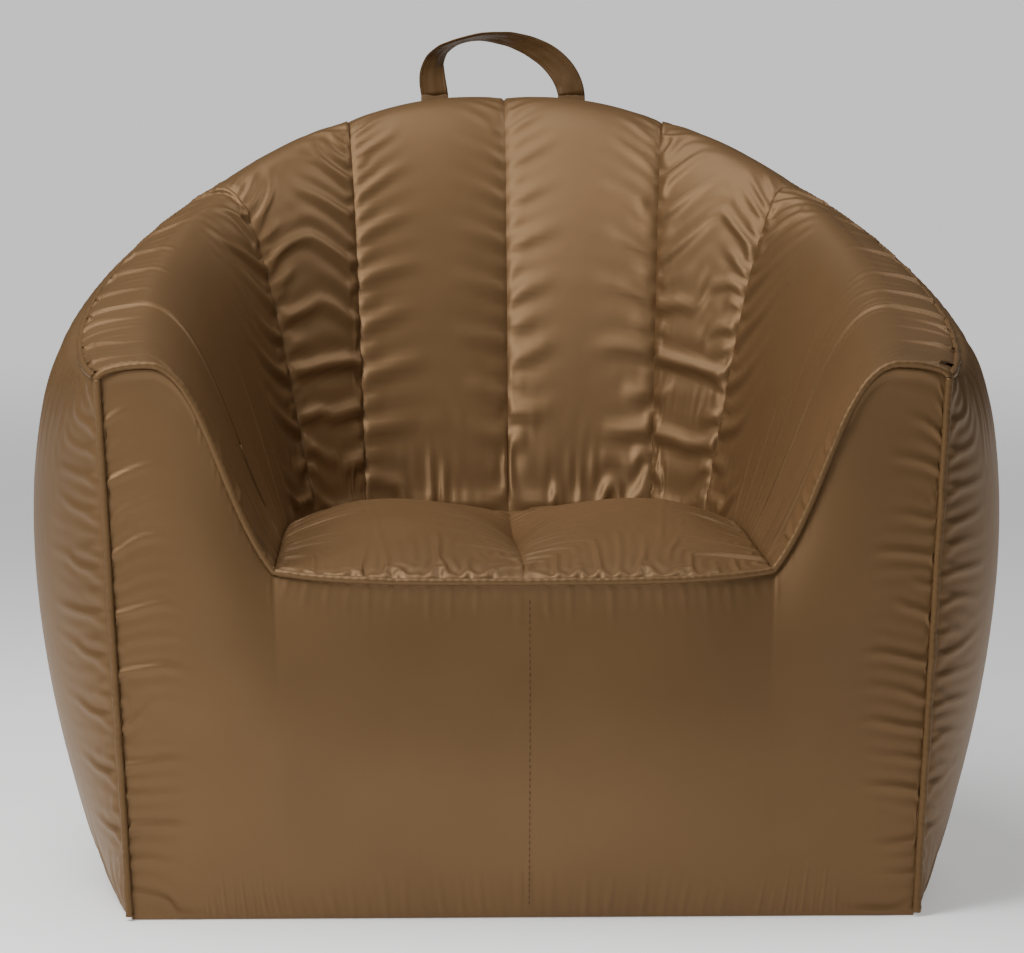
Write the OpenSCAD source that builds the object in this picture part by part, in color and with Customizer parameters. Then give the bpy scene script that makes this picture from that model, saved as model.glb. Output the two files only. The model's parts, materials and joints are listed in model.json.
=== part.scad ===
// Bean bag armchair: a sewn cover of sixteen panels round a loose bead filling.
// X runs towards the sitter's left hand, Y to the back and Z up, and the front faces -Y.
// Left and right are the sitter's own. The origin is on the floor, under the middle of the chair.
// All sizes are in millimetres.

/* [Overall size] */
// Width over the bulging sides
overall_w = 771; // [650:1:1000]
// Depth from the front bulge to the back bulge
overall_d = 711; // [560:1:880]
// Height of the piped edge at the middle of the back
back_h = 616; // [500:1:780]

/* [Arms and seat] */
// Height of the piped edge at the front of each arm
arm_h = 414; // [330:1:500]
// Height of the piped front edge of the seat, at its ends
seat_h = 266; // [200:1:320]
// Width of each arm across its front face
arm_w = 130; // [100:1:160]
// Thickness of the back from the seat crease to the piped edge
back_t = 195; // [150:1:240]
// Height of the seat's crown above its front edge
seat_crown = 28; // [10:1:45]
// Height that the arms and back roll over above their piped edge
roll_h = 9; // [4:1:16]

/* [Bulges and tapers] */
// How far the sides swell past the piped edge
side_bulge = 40; // [20:1:90]
// How far the back swells past the piped edge
back_bulge = 55; // [20:1:90]
// How far the front face swells
front_bulge = 22; // [8:1:40]
// How much further forward the base ends than the piped edge, at the back
rear_inset = 35; // [0:1:70]
// How much narrower each side of the front face is than the piped edge, at the top
top_taper = 25; // [0:1:50]
// How much narrower each side of the front face is than the piped edge, at the floor
base_taper = 46; // [0:1:70]
// How far the sides are drawn in at the floor, behind the front face
side_inset = 28; // [0:1:60]
// How far the seat's front edge bows forward
edge_bow = 12; // [0:1:25]
// How far the seat's front edge sags at its middle
edge_sag = 7; // [0:1:20]
// How far each panel of the arms and back puffs between its seams
panel_puff = 8; // [2:1:20]

/* [Cover] */
// Thickness of the coated cover cloth
cloth_t = 0.8; // [0.5:0.1:1.5]
// Radius of the finished piping
piping_r = 3; // [2:0.1:5]
// Radius of the cord in the piping
cord_r = 2; // [1:0.1:2.2]

/* [Handle] */
// Distance between the strap's two sewn ends, centre to centre
strap_span = 125; // [90:1:160]
// Height of the strap's loop above its sewn ends
strap_rise = 50; // [45:1:90]
// Width of the strap
strap_w = 25; // [20:1:40]
// Thickness of the folded strap
strap_t = 2.5; // [1.5:0.1:4]

/* [Zip] */
// Length of the zip's chain in the base
zip_len = 380; // [250:1:420]
// How far the zip lies behind the middle of the base
zip_y = 110; // [60:1:150]
// Width of each zip tape
tape_w = 14; // [10:1:20]
// Pitch of the zip's coil
coil_pitch = 2.5; // [2:0.1:4]

/* [Hidden] */

cover_colour = [0.45, 0.33, 0.22];
piping_colour = [0.36, 0.26, 0.17];
cord_colour = [0.85, 0.83, 0.78];
tape_colour = [0.16, 0.13, 0.11];
metal_colour = [0.35, 0.33, 0.30];
bead_colour = [0.96, 0.96, 0.95];

// Room between the cover's inside and the beads, and between the base cloth and the walls.
fill_gap = 0.1;
fill_inset = cloth_t + fill_gap;
// How far the piping is bedded into the seam that holds it.
piping_bite = 0.4;
cord_gap = 0.1;

// Half widths and places of the main outlines, in plan.
rim_half = overall_w / 2 - side_bulge;
front_top_half = rim_half - top_taper;
front_base_half = rim_half - base_taper;
base_half = rim_half - side_inset;
seat_half = front_top_half - arm_w;
front_y = -overall_d / 2 + front_bulge + edge_bow / 2;
rim_rear_y = overall_d / 2 - back_bulge;
base_rear_y = rim_rear_y - rear_inset;
crease_rear_y = rim_rear_y - back_t;
// Where the arms' straight run ends and the back's curve begins.
arm_run = 186;
turn_y = front_y + arm_run;

// Squareness of each plan outline: 2 is an ellipse, more is squarer.
rim_square = 2;
crease_square = 4;
base_square = 2.2;
// How steeply the piped edge climbs from the arms to the back.
climb = 1.65;
// How full the outer walls and the front are: lower is fuller.
wall_fullness = 0.6;
front_fullness = 0.8;
// Where the outer walls are widest, as a share of the way down, and the power that puts it there.
belly = 0.42;
belly_power = ln(0.5) / ln(belly);
// How sharply the side swells behind the front seam: lower is sharper.
corner_fullness = 0.6;

// Stations along the U from the middle of the back (0) round to the arm's front.
// Up to 90 they are angles of the back's curve; past 90 they run down the arm to 180.
seam_inner = 25;
seam_outer = 50;
turn_end = 90;
arm_end = 180;
inner_steps = 4;
outer_steps = 4;
turn_steps = 6;
arm_steps = 6;
stations = concat(
    [for (k = [0:inner_steps - 1]) seam_inner * k / inner_steps],
    [for (k = [0:outer_steps - 1]) seam_inner + (seam_outer - seam_inner) * k / outer_steps],
    [for (k = [0:turn_steps - 1]) seam_outer + (turn_end - seam_outer) * k / turn_steps],
    [for (k = [0:arm_steps]) turn_end + (arm_end - turn_end) * sin(90 * k / arm_steps)]
);
inner_k = inner_steps;
outer_k = inner_steps + outer_steps;
last_k = len(stations) - 1;
// Grid steps from crease to piped edge, from piped edge to floor, and along half the seat's edge.
roll_steps = 4;
rise_steps = 7;
section_steps = rise_steps + roll_steps;
wall_steps = 10;
edge_steps = outer_k;

// Shape of the section from the crease to the piped edge, as shares of its reach and height.
arm_wall = [[0, 0], [0.30, 0.30], [0.42, 1], [0.72, 1]];
back_wall = [[0, 0], [0.25, 0.45], [0.50, 1], [0.80, 1]];

function lerp(a, b, t) = a + (b - a) * t;
function clamp01(t) = min(1, max(0, t));
function bezier(p, t) = pow(1 - t, 3) * p[0] + 3 * t * pow(1 - t, 2) * p[1]
    + 3 * t * t * (1 - t) * p[2] + pow(t, 3) * p[3];
function unit(v) = v / max(norm(v), 0.000001);

// Plan point of an outline at station s: a superellipse round the back, then the arm's run.
function plan(s, half, front_half, rear_y, front, square) =
    s <= turn_end
        ? [half * pow(sin(s), 2 / square), turn_y + (rear_y - turn_y) * pow(cos(s), 2 / square)]
        : let (a = (s - turn_end) / (arm_end - turn_end))
            [lerp(half, front_half, a * a), lerp(turn_y, front, a)];

// The three outlines at station s, drawn in by inset: the seat crease, the piped edge and the base.
function crease(s, inset) =
    let (p = plan(s, seat_half + inset, seat_half + inset, crease_rear_y + inset,
        front_y + inset, crease_square))
    [p[0], p[1], seat_h - inset];
function rim_height(y) = lerp(arm_h, back_h,
    pow(clamp01((y - front_y) / (rim_rear_y - front_y)), climb));
function rim(s, inset) =
    let (p = plan(s, rim_half - inset, front_top_half - inset, rim_rear_y - inset,
            front_y + inset, rim_square),
        q = plan(s, rim_half, front_top_half, rim_rear_y, front_y, rim_square))
    [p[0], p[1], rim_height(q[1]) - inset];
function base(s, inset) =
    let (p = plan(s, base_half - inset, front_base_half - inset, base_rear_y - inset,
        front_y + inset, base_square))
    [p[0], p[1], inset];

// Outward direction in plan at station s.
function outward(s) = let (d = rim(s, 0) - crease(s, 0)) unit([d[0], d[1], 0]);

// Puff of the arm and back panels: nothing at the seams, most between them.
function seam_share(s) =
    s < seam_inner ? s / seam_inner
    : s < seam_outer ? (s - seam_inner) / (seam_outer - seam_inner)
    : (s - seam_outer) / (arm_end - seam_outer);
function puff(s, v) = panel_puff * pow(max(0, sin(180 * seam_share(s))), 0.6)
    * max(0, sin(180 * pow(v, 0.6)));

// Share of reach and height of the section at share v, and its height at the piped edge.
function section_share(s, v, rim_share) =
    let (a = clamp01((s - seam_outer) / (turn_end - seam_outer)),
        wall = [for (k = [0:3]) lerp(back_wall[k], arm_wall[k], a)],
        top = rise_steps / section_steps)
    v <= top ? bezier(wall, v / top)
    : let (r = 90 * (v - top) / (1 - top))
        [lerp(wall[3][0], 1, sin(r)), lerp(1, rim_share, 1 - cos(r))];

// Point of the arms and back at station s, from the crease (v = 0) to the piped edge (v = 1).
function section(s, v, inset) =
    let (c = crease(s, inset), r = rim(s, inset), top = r[2] + roll_h,
        rim_share = (r[2] - c[2]) / (top - c[2]),
        m = section_share(s, v, rim_share),
        ahead = section_share(s, min(1, v + 0.01), rim_share)
            - section_share(s, max(0, v - 0.01), rim_share),
        reach = norm([r[0] - c[0], r[1] - c[1]]),
        slope = unit([ahead[0] * reach, ahead[1] * (top - c[2])]),
        o = outward(s), swell = puff(s, v) - inset * sqrt(max(0, sin(180 * v))))
    [lerp(c[0], r[0], m[0]) - swell * slope[1] * o[0],
        lerp(c[1], r[1], m[0]) - swell * slope[1] * o[1],
        lerp(c[2], top, m[1]) + swell * slope[0]];

// Swell of the outer wall at station s: full round the back and sides, nothing at the front seam.
// The wall leans in towards the floor, so it gets back what it has leaned in at the belly.
function wall_bulge(s) =
    s <= turn_end
        ? lerp(side_bulge + belly * side_inset, back_bulge + belly * rear_inset, pow(cos(s), 2))
        : (side_bulge + belly * side_inset)
            * pow(max(0, cos(90 * (s - turn_end) / (arm_end - turn_end))), corner_fullness);

// Point of the outer wall at station s, from the piped edge (w = 0) to the floor (w = 1).
function wall(s, w, inset) =
    lerp(rim(s, inset), base(s, inset), w)
        + outward(s) * wall_bulge(s) * pow(max(0, sin(180 * pow(w, belly_power))), wall_fullness);

// Point of the seat's front edge, from the middle (a = 0) to the crease's end (a = 1).
function seat_edge(a, inset) = [
    (seat_half + inset) * a,
    front_y + inset - edge_bow * (1 - pow(a, 4)),
    seat_h - inset - edge_sag * (1 - pow(a, 4))
];

// Top and bottom edges of the front face, column j counted from the middle.
front_columns = edge_steps + section_steps;
function front_top(j, inset) =
    j <= edge_steps ? seat_edge(j / edge_steps, inset)
    : section(arm_end, (j - edge_steps) / section_steps, inset);
function front_share(j) = front_top(j, 0)[0] / front_top_half;
function front_bottom(j, inset) =
    [(front_base_half - inset) * front_share(j), front_y + inset, inset];
function front_face(j, w, inset) =
    lerp(front_top(j, inset), front_bottom(j, inset), w)
        - [0, front_bulge * pow(max(0, sin(180 * w)), front_fullness)
            * (1 - pow(front_share(j), 4)), 0];

// Point of the seat: blended from its four edges, then crowned, with a dip at the middle seam.
seat_rows = last_k - outer_k;
function seat(a, b, inset) =
    let (u = a / edge_steps, v = b / seat_rows,
        front = seat_edge(u, inset), back = crease(stations[a], inset),
        middle = lerp(seat_edge(0, inset), crease(0, inset), v),
        side = crease(stations[last_k - b], inset),
        corners = lerp(lerp(seat_edge(0, inset), crease(stations[last_k], inset), u),
            lerp(crease(0, inset), crease(stations[outer_k], inset), u), v),
        crown = seat_crown * pow(max(0, cos(90 * u)), 0.5) * (0.8 + 0.2 * sin(180 * u))
            * pow(max(0, sin(180 * pow(v, 0.8))), 0.6))
    lerp(front, back, v) + lerp(middle, side, u) - corners + [0, 0, crown];

// Grids of points: one row for each step away from the first edge.
function section_grid(from_k, to_k, inset) =
    [for (k = [from_k:to_k]) [for (n = [0:section_steps]) section(stations[k], n / section_steps, inset)]];
function wall_grid(from_k, to_k, inset) =
    [for (k = [from_k:to_k]) [for (n = [0:wall_steps]) wall(stations[k], n / wall_steps, inset)]];
function front_grid(inset) =
    [for (j = [0:front_columns]) [for (n = [0:wall_steps]) front_face(j, n / wall_steps, inset)]];
function seat_grid(inset) =
    [for (a = [0:edge_steps]) [for (b = [0:seat_rows]) seat(a, b, inset)]];

// Depth of the outer skin, which sets the chair's middle.
skin_y = [for (row = concat(wall_grid(0, last_k, 0), front_grid(0))) for (p = row) p[1]];
shift_y = -(min(skin_y) + max(skin_y)) / 2;
module placed() translate([0, shift_y, 0]) children();

// Triangles of a grid of rows by columns, seen from the outside, starting at point number first.
function grid_faces(rows, columns, first, flip) =
    [for (r = [0:rows - 2]) for (c = [0:columns - 2])
        let (p = first + r * columns + c, q = p + columns)
        each flip ? [[p, q, q + 1], [p, q + 1, p + 1]] : [[p, q + 1, q], [p, p + 1, q + 1]]];
function flat(rows) = [for (row = rows) each row];
function mirrored(points) = [for (p = points) [-p[0], p[1], p[2]]];

// One sewn panel: an outer grid, an inner grid and a wall of cloth thickness round their edge.
// The flip is set where the grid's rows run the other way round.
module panel(outer, inner, flip = false) {
    rows = len(outer);
    columns = len(outer[0]);
    count = rows * columns;
    border = concat(
        [for (c = [0:columns - 1]) c],
        [for (r = [1:rows - 1]) r * columns + columns - 1],
        [for (c = [1:columns - 1]) count - 1 - c],
        [for (r = [1:rows - 2]) (rows - 1 - r) * columns]
    );
    edge = [for (n = [0:len(border) - 1])
        let (p = border[n], q = border[(n + 1) % len(border)])
        each flip ? [[p, q, q + count], [p, q + count, p + count]]
            : [[q, p, p + count], [q, p + count, q + count]]];
    polyhedron(points = concat(flat(outer), flat(inner)),
        faces = concat(grid_faces(rows, columns, 0, flip),
            grid_faces(rows, columns, count, !flip), edge));
}

// Ring of points round p, square to the tangent t, starting towards out.
function ring(p, t, out, r, sides) =
    let (n = unit(out - (out * t) * t), b = cross(t, n))
    [for (k = [0:sides - 1]) p + r * (cos(360 * k / sides) * n + sin(360 * k / sides) * b)];
function tangent(path, i) = unit(path[min(i + 1, len(path) - 1)] - path[max(i - 1, 0)]);
function rings(path, outs, r, sides) =
    [for (i = [0:len(path) - 1]) ring(path[i], tangent(path, i), outs[i], r, sides)];

// Length along a path to each of its points, and a list's value at a length along it.
function lengths(path) =
    [for (i = 0, sum = 0; i < len(path);
        i = i + 1, sum = i < len(path) ? sum + norm(path[i] - path[i - 1]) : sum) sum];
function value_at(list, run, d) =
    let (i = max([for (k = [0:len(run) - 2]) if (k == 0 || run[k] <= d) k]))
    lerp(list[i], list[i + 1], (d - run[i]) / (run[i + 1] - run[i]));
// The list that goes with a path, without so much of the path's length at its first and last ends.
function trimmed(list, run, first, last) =
    let (total = run[len(run) - 1], near = 1)
    concat([value_at(list, run, first)],
        [for (k = [0:len(run) - 1]) if (run[k] > first + near && run[k] < total - last - near) list[k]],
        [value_at(list, run, total - last)]);

// Side faces between rings of so many points, and the tube's two end faces.
function sleeve_faces(count, sides, first, flip) =
    [for (i = [0:count - 2]) for (k = [0:sides - 1])
        let (p = first + i * sides + k, q = first + i * sides + (k + 1) % sides)
        each flip ? [[p, q + sides, q], [p, p + sides, q + sides]]
            : [[p, q, q + sides], [p, q + sides, p + sides]]];
function annulus(outer, inner, sides, flip) =
    [for (k = [0:sides - 1]) let (n = (k + 1) % sides)
        each flip ? [[outer + k, inner + n, inner + k], [outer + k, outer + n, inner + n]]
            : [[outer + k, inner + k, inner + n], [outer + k, inner + n, outer + n]]];
function disc(first, sides, flip) =
    [[for (k = [0:sides - 1]) first + (flip ? sides - 1 - k : k)]];

module rod(path, outs, r, sides) {
    count = len(path);
    polyhedron(points = flat(rings(path, outs, r, sides)),
        faces = concat(sleeve_faces(count, sides, 0, true), disc(0, sides, false),
            disc((count - 1) * sides, sides, true)));
}
module tube(path, outs, r, bore, sides) {
    count = len(path);
    last = (count - 1) * sides;
    hole = count * sides;
    polyhedron(points = concat(flat(rings(path, outs, r, sides)), flat(rings(path, outs, bore, sides))),
        faces = concat(sleeve_faces(count, sides, 0, true), sleeve_faces(count, sides, hole, false),
            annulus(0, hole, sides, true), annulus(last, hole + last, sides, false)));
}

// Seam lines that carry piping, each with the direction in which the piping stands off the seam.
piping_sides = 8;
bed = piping_r - piping_bite;
function bedded(path, outs) = [for (i = [0:len(path) - 1]) path[i] + bed * outs[i]];
function both(half) = concat([for (i = [len(half) - 1:-1:1]) [-half[i][0], half[i][1], half[i][2]]], half);

// Along the rim: outward, and tipped up by so many degrees, out of the way of the wall's swell.
rim_tip = 22;
rim_outs = both([for (s = stations) cos(rim_tip) * outward(s) + [0, 0, sin(rim_tip)]]);
rim_path = bedded(both([for (s = stations) rim(s, 0)]), rim_outs);

// Across the front edge: forward, and away from the arm's or the seat's upper surface.
function edge_normal(j) =
    let (d = front_top(min(j + 1, front_columns), 0) - front_top(max(j - 1, 0), 0))
    unit([-d[2], 0, d[0]]);
front_half_outs = [for (j = [0:front_columns]) unit(edge_normal(j) + [0, -1, 0])];
front_outs = both(front_half_outs);
front_path = bedded(both([for (j = [0:front_columns]) front_top(j, 0)]), front_outs);

corner_out = unit([1, -1, 0]);
side_outs = [for (n = [0:wall_steps]) corner_out];
side_path = bedded([for (n = [0:wall_steps]) wall(arm_end, n / wall_steps, 0)], side_outs);

// The piping is cut back where the three runs meet at an arm's front corner, and the cord further.
rim_cut = 9;
side_cut = 2;
floor_cut = 1;
cord_cut = 8;

module piping(path, outs, first, last) {
    run = lengths(path);
    color(piping_colour) tube(trimmed(path, run, first, last), trimmed(outs, run, first, last),
        piping_r, cord_r + cord_gap, piping_sides);
}
module cord(path, outs, first, last) {
    run = lengths(path);
    color(cord_colour) rod(trimmed(path, run, first + cord_cut, last + cord_cut),
        trimmed(outs, run, first + cord_cut, last + cord_cut), cord_r, piping_sides);
}

// The handle's hinge line: along X, behind the roll of the back and just above it.
fold_gap = 0.8;
strap_x = strap_span / 2;
strap_s = asin(strap_x / rim_half);
tab_s = [asin((strap_x - strap_w / 2) / rim_half), asin((strap_x + strap_w / 2) / rim_half)];
strap_lift = 9;
fold_y = rim(strap_s, 0)[1];
fold_z = rim(strap_s, 0)[2] + roll_h + strap_lift;
strap_skew = 16;
strap_twist = 70;
strap_steps = 20;

function loop_point(t) = [
    -strap_x * cos(t) - strap_skew * sin(t),
    0,
    (strap_rise - strap_t / 2) * pow(max(0, sin(t)), 0.8)
];
function loop_tangent(t) =
    t <= 0 ? [0, 0, 1] : t >= 180 ? [0, 0, -1]
    : unit(loop_point(min(180, t + 1)) - loop_point(max(0, t - 1)));
// The strap's two half widths at t: it lies flat at its ends and turns on edge over the top.
function loop_ring(t) =
    let (g = loop_tangent(t), flat_dir = cross(g, [0, -1, 0]),
        turn = strap_twist * pow(max(0, sin(t)), 1.2),
        w = cos(turn) * flat_dir + sin(turn) * [0, 1, 0],
        n = cross(g, w), c = loop_point(t))
    [c + w * strap_w / 2 + n * strap_t / 2, c - w * strap_w / 2 + n * strap_t / 2,
        c - w * strap_w / 2 - n * strap_t / 2, c + w * strap_w / 2 - n * strap_t / 2];

module strap_loop() {
    corners = 4;
    polyhedron(points = flat([for (k = [0:strap_steps]) loop_ring(180 * k / strap_steps)]),
        faces = concat(sleeve_faces(strap_steps + 1, corners, 0, true), disc(0, corners, false),
            disc(strap_steps * corners, corners, true)));
}
module left_handle() {
    color(piping_colour) translate([0, fold_y, fold_z]) {
        strap_loop();
        for (x = [-strap_x, strap_x]) translate([x - strap_w / 2, 0, 0]) rotate([0, 90, 0])
            cylinder(r = strap_t / 2, h = strap_w, $fn = 64);
    }
}

// A sewn end of the strap. It leaves the seam over the piping, from the roll of the back, and
// narrows to an edge under the fold, so that the loop can hang down behind it. Its foot follows
// the seam's slope, and its front and rear are two planes that contain the fold's direction.
tab_edge = 0.8;
tab_foot = section(strap_s, (section_steps - 1) / section_steps, 0);
tab_top = fold_z - strap_t / 2 - fold_gap;
function tab_face(z, foot_y, top_y) = lerp(top_y, foot_y, (tab_top - z) / (tab_top - tab_foot[2]));
module tab() {
    x = [strap_x - strap_w / 2, strap_x + strap_w / 2];
    foot_z = [for (s = tab_s) section(s, (section_steps - 1) / section_steps, 0)[2]];
    front = [tab_foot[1], fold_y - tab_edge / 2];
    rear = [tab_foot[1] + strap_t, fold_y + tab_edge / 2];
    points = concat(
        [for (k = [0, 1]) for (face = [front, rear])
            [x[k], tab_face(foot_z[k], face[0], face[1]), foot_z[k]]],
        [for (k = [0, 1]) for (face = [front, rear]) [x[k], face[1], tab_top]]);
    color(piping_colour) polyhedron(points = points, faces = [
        [0, 2, 3, 1], [4, 5, 7, 6], [0, 4, 6, 2], [1, 3, 7, 5], [0, 1, 5, 4], [2, 6, 7, 3]
    ]);
}

// The zip lies in a recess of the base, so that nothing on it touches the floor.
tape_t = 0.6;
tape_tail = 12;
row_gap = 1.6;
coil_h = 1.6;
coil_reach = 2.4;
coil_back = 1;
slider_len = 12;
slider_w = 10;
slider_plate = 1.2;
slider_bridge = 0.8;
slide_gap = 0.3;
lug_h = 1.4;
recess_side = 2;
recess_end = 3;
lip_y = 8;
floor_gap = 0.6;
coil_base = floor_gap + lug_h + slider_plate + slide_gap;
tape_z = coil_base + coil_h;
lip_z = tape_z - cloth_t;
recess_y = tape_w + recess_side;
recess_x = zip_len / 2 + tape_tail + recess_end;
slot_x = zip_len / 2 + recess_end;
slider_top = tape_z + tape_t + slide_gap + slider_plate;

base_outline = let (half = [for (s = stations) base(s, cloth_t)])
    [for (p = both(half)) [p[0], p[1]]];

// Half of a box across the zip's line: side is 1 for the rear and -1 for the front.
module half_box(x, near, far, z, height, side)
    translate([-x, zip_y + (side > 0 ? near : -far), z]) cube([2 * x, far - near, height]);

module base_panel(side) {
    reach = overall_w;
    color(cover_colour) {
        difference() {
            intersection() {
                linear_extrude(cloth_t) polygon(base_outline);
                half_box(reach, 0, reach, -1, cloth_t + 2, side);
            }
            half_box(recess_x, -1, recess_y, -1, cloth_t + 2, side);
        }
        difference() {
            half_box(recess_x, 0, recess_y, 0, tape_z, side);
            half_box(recess_x - cloth_t, -1, recess_y - cloth_t, -1, lip_z + 1, side);
            half_box(slot_x, -1, lip_y, -1, tape_z + 2, side);
        }
    }
}

module zip_tape(side)
    color(tape_colour)
        half_box(zip_len / 2 + tape_tail, row_gap / 2, tape_w, tape_z, tape_t, side);

// One row of the coil: a back bead with a tooth at each pitch, the rows half a pitch apart.
module zip_coil(side) {
    teeth = floor(zip_len / coil_pitch) - 1;
    tooth = coil_pitch / 2;
    near = row_gap / 2;
    start = -teeth * coil_pitch / 2 + (side > 0 ? 0 : tooth);
    outline = concat(
        [[start, near + coil_reach], [start, near + coil_back]],
        [for (k = [0:teeth - 1]) let (x = start + k * coil_pitch)
            each [[x, near], [x + tooth, near], [x + tooth, near + coil_back],
                [x + coil_pitch, near + coil_back]]],
        [[start + teeth * coil_pitch, near + coil_reach]]
    );
    color(tape_colour) translate([0, zip_y, coil_base]) linear_extrude(coil_h)
        polygon([for (p = outline) [p[0], side * p[1]]]);
}

// A staple at each end of the coil, round both tapes and through the space between them.
module zip_stops() {
    stop_len = 3;
    stop_w = 7;
    stop_plate = 0.8;
    stop_bridge = 1.2;
    color(metal_colour) for (x = [-1, 1])
        translate([x * (zip_len / 2 + stop_len / 2), zip_y, tape_z]) {
            translate([0, 0, tape_t + stop_plate / 2]) cube([stop_len, stop_w, stop_plate], center = true);
            translate([0, 0, -stop_plate / 2]) cube([stop_len, stop_w, stop_plate], center = true);
            translate([0, 0, tape_t / 2]) cube([stop_len, stop_bridge, tape_t + stop_plate], center = true);
        }
}

// The slider: two plates joined by a bridge, flanges beside the coil, and a lug in place of a pull tab.
module slider_profile() {
    half = slider_w / 2;
    flange = 1;
    translate([-half, slider_top - slider_plate]) square([slider_w, slider_plate]);
    translate([-half, coil_base - slide_gap - slider_plate]) square([slider_w, slider_plate]);
    for (y = [-half, half - flange]) translate([y, coil_base - slide_gap - slider_plate / 2])
        square([flange, coil_h + slider_plate / 2]);
    translate([-slider_bridge / 2, coil_base - slide_gap - slider_plate / 2])
        square([slider_bridge, slider_top - coil_base + slide_gap]);
}
// Where the slider rests: at the closed end.
slider_x = zip_len / 2 - slider_len / 2 - 2 * slide_gap;
module zip_slider() {
    lug_len = 6;
    lug_w = 3;
    color(metal_colour) translate([slider_x, zip_y, 0]) {
        translate([-slider_len / 2, 0, 0]) rotate([90, 0, 90]) linear_extrude(slider_len) slider_profile();
        translate([-lug_len / 2, -lug_w / 2, floor_gap]) difference() {
            cube([lug_len, lug_w, lug_h]);
            translate([1.5, -1, 0.5]) cube([lug_len - 3, lug_w + 2, lug_h]);
        }
    }
}

// The loose filling, as one body inside the cover, with room over the zip.
module bead_fill() {
    gap = fill_inset;
    grids = [
        [section_grid(0, last_k, gap), false],
        [wall_grid(0, last_k, gap), false],
        [front_grid(gap), true],
        [seat_grid(gap), false]
    ];
    firsts = [for (g = 0, sum = 0; g < len(grids);
        sum = sum + len(grids[g][0]) * len(grids[g][0][0]), g = g + 1) sum];
    half = [for (g = grids) each flat(g[0])];
    count = len(half);
    skin = [for (g = [0:len(grids) - 1])
        each grid_faces(len(grids[g][0]), len(grids[g][0][0]), firsts[g], grids[g][1])];
    floor_half = concat([for (s = stations) base(s, gap)],
        [for (j = [front_columns - 1:-1:0]) front_bottom(j, gap)]);
    floor_points = concat(floor_half,
        [for (i = [len(floor_half) - 2:-1:1]) [-floor_half[i][0], floor_half[i][1], gap]]);
    floor_face = [for (k = [0:len(floor_points) - 1]) 2 * count + k];
    color(bead_colour) difference() {
        polyhedron(points = concat(half, mirrored(half), floor_points),
            faces = concat(skin,
                [for (f = skin) [f[2] + count, f[1] + count, f[0] + count]],
                [floor_face]));
        translate([-recess_x - fill_gap, zip_y - recess_y - fill_gap, -1])
            cube([2 * (recess_x + fill_gap), 2 * (recess_y + fill_gap), slider_top + slide_gap + 1]);
    }
}

module left() children();
module right() mirror([1, 0, 0]) children();
module cover() color(cover_colour) children();

module front_half() cover() panel(front_grid(0), front_grid(cloth_t), true);
module seat_panel() cover() panel(seat_grid(0), seat_grid(cloth_t), false);
module gore(from_k, to_k)
    cover() panel(section_grid(from_k, to_k, 0), section_grid(from_k, to_k, cloth_t));
module wall_panel(from_k, to_k)
    cover() panel(wall_grid(from_k, to_k, 0), wall_grid(from_k, to_k, cloth_t));

placed() {
    left() front_half();  // left_front_panel
    right() front_half();  // right_front_panel
    left() seat_panel();  // left_seat_panel
    right() seat_panel();  // right_seat_panel
    left() gore(outer_k, last_k);  // left_arm_panel
    right() gore(outer_k, last_k);  // right_arm_panel
    left() gore(inner_k, outer_k);  // left_outer_back_gore
    right() gore(inner_k, outer_k);  // right_outer_back_gore
    left() gore(0, inner_k);  // left_inner_back_gore
    right() gore(0, inner_k);  // right_inner_back_gore
    left() wall_panel(outer_k, last_k);  // left_side_panel
    right() wall_panel(outer_k, last_k);  // right_side_panel
    left() wall_panel(0, outer_k);  // left_rear_panel
    right() wall_panel(0, outer_k);  // right_rear_panel
    base_panel(-1);  // front_base_panel
    base_panel(1);  // rear_base_panel
    piping(front_path, front_outs, 0, 0);  // front_piping
    cord(front_path, front_outs, 0, 0);  // front_piping_cord
    piping(rim_path, rim_outs, rim_cut, rim_cut);  // rim_piping
    cord(rim_path, rim_outs, rim_cut, rim_cut);  // rim_piping_cord
    left() piping(side_path, side_outs, side_cut, floor_cut);  // left_side_piping
    right() piping(side_path, side_outs, side_cut, floor_cut);  // right_side_piping
    left() cord(side_path, side_outs, side_cut, floor_cut);  // left_side_piping_cord
    right() cord(side_path, side_outs, side_cut, floor_cut);  // right_side_piping_cord
    left() tab();  // left_handle_tab
    right() tab();  // right_handle_tab
    left_handle();  // carry_handle
    zip_tape(-1);  // front_zip_tape
    zip_tape(1);  // rear_zip_tape
    zip_coil(-1);  // front_zip_coil
    zip_coil(1);  // rear_zip_coil
    zip_stops();
    zip_slider();
    bead_fill();
}
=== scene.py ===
"""Looks of the bean bag armchair: sewn panels full of wrinkles, piping, a carry strap and a zip."""

import json
import math

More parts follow.
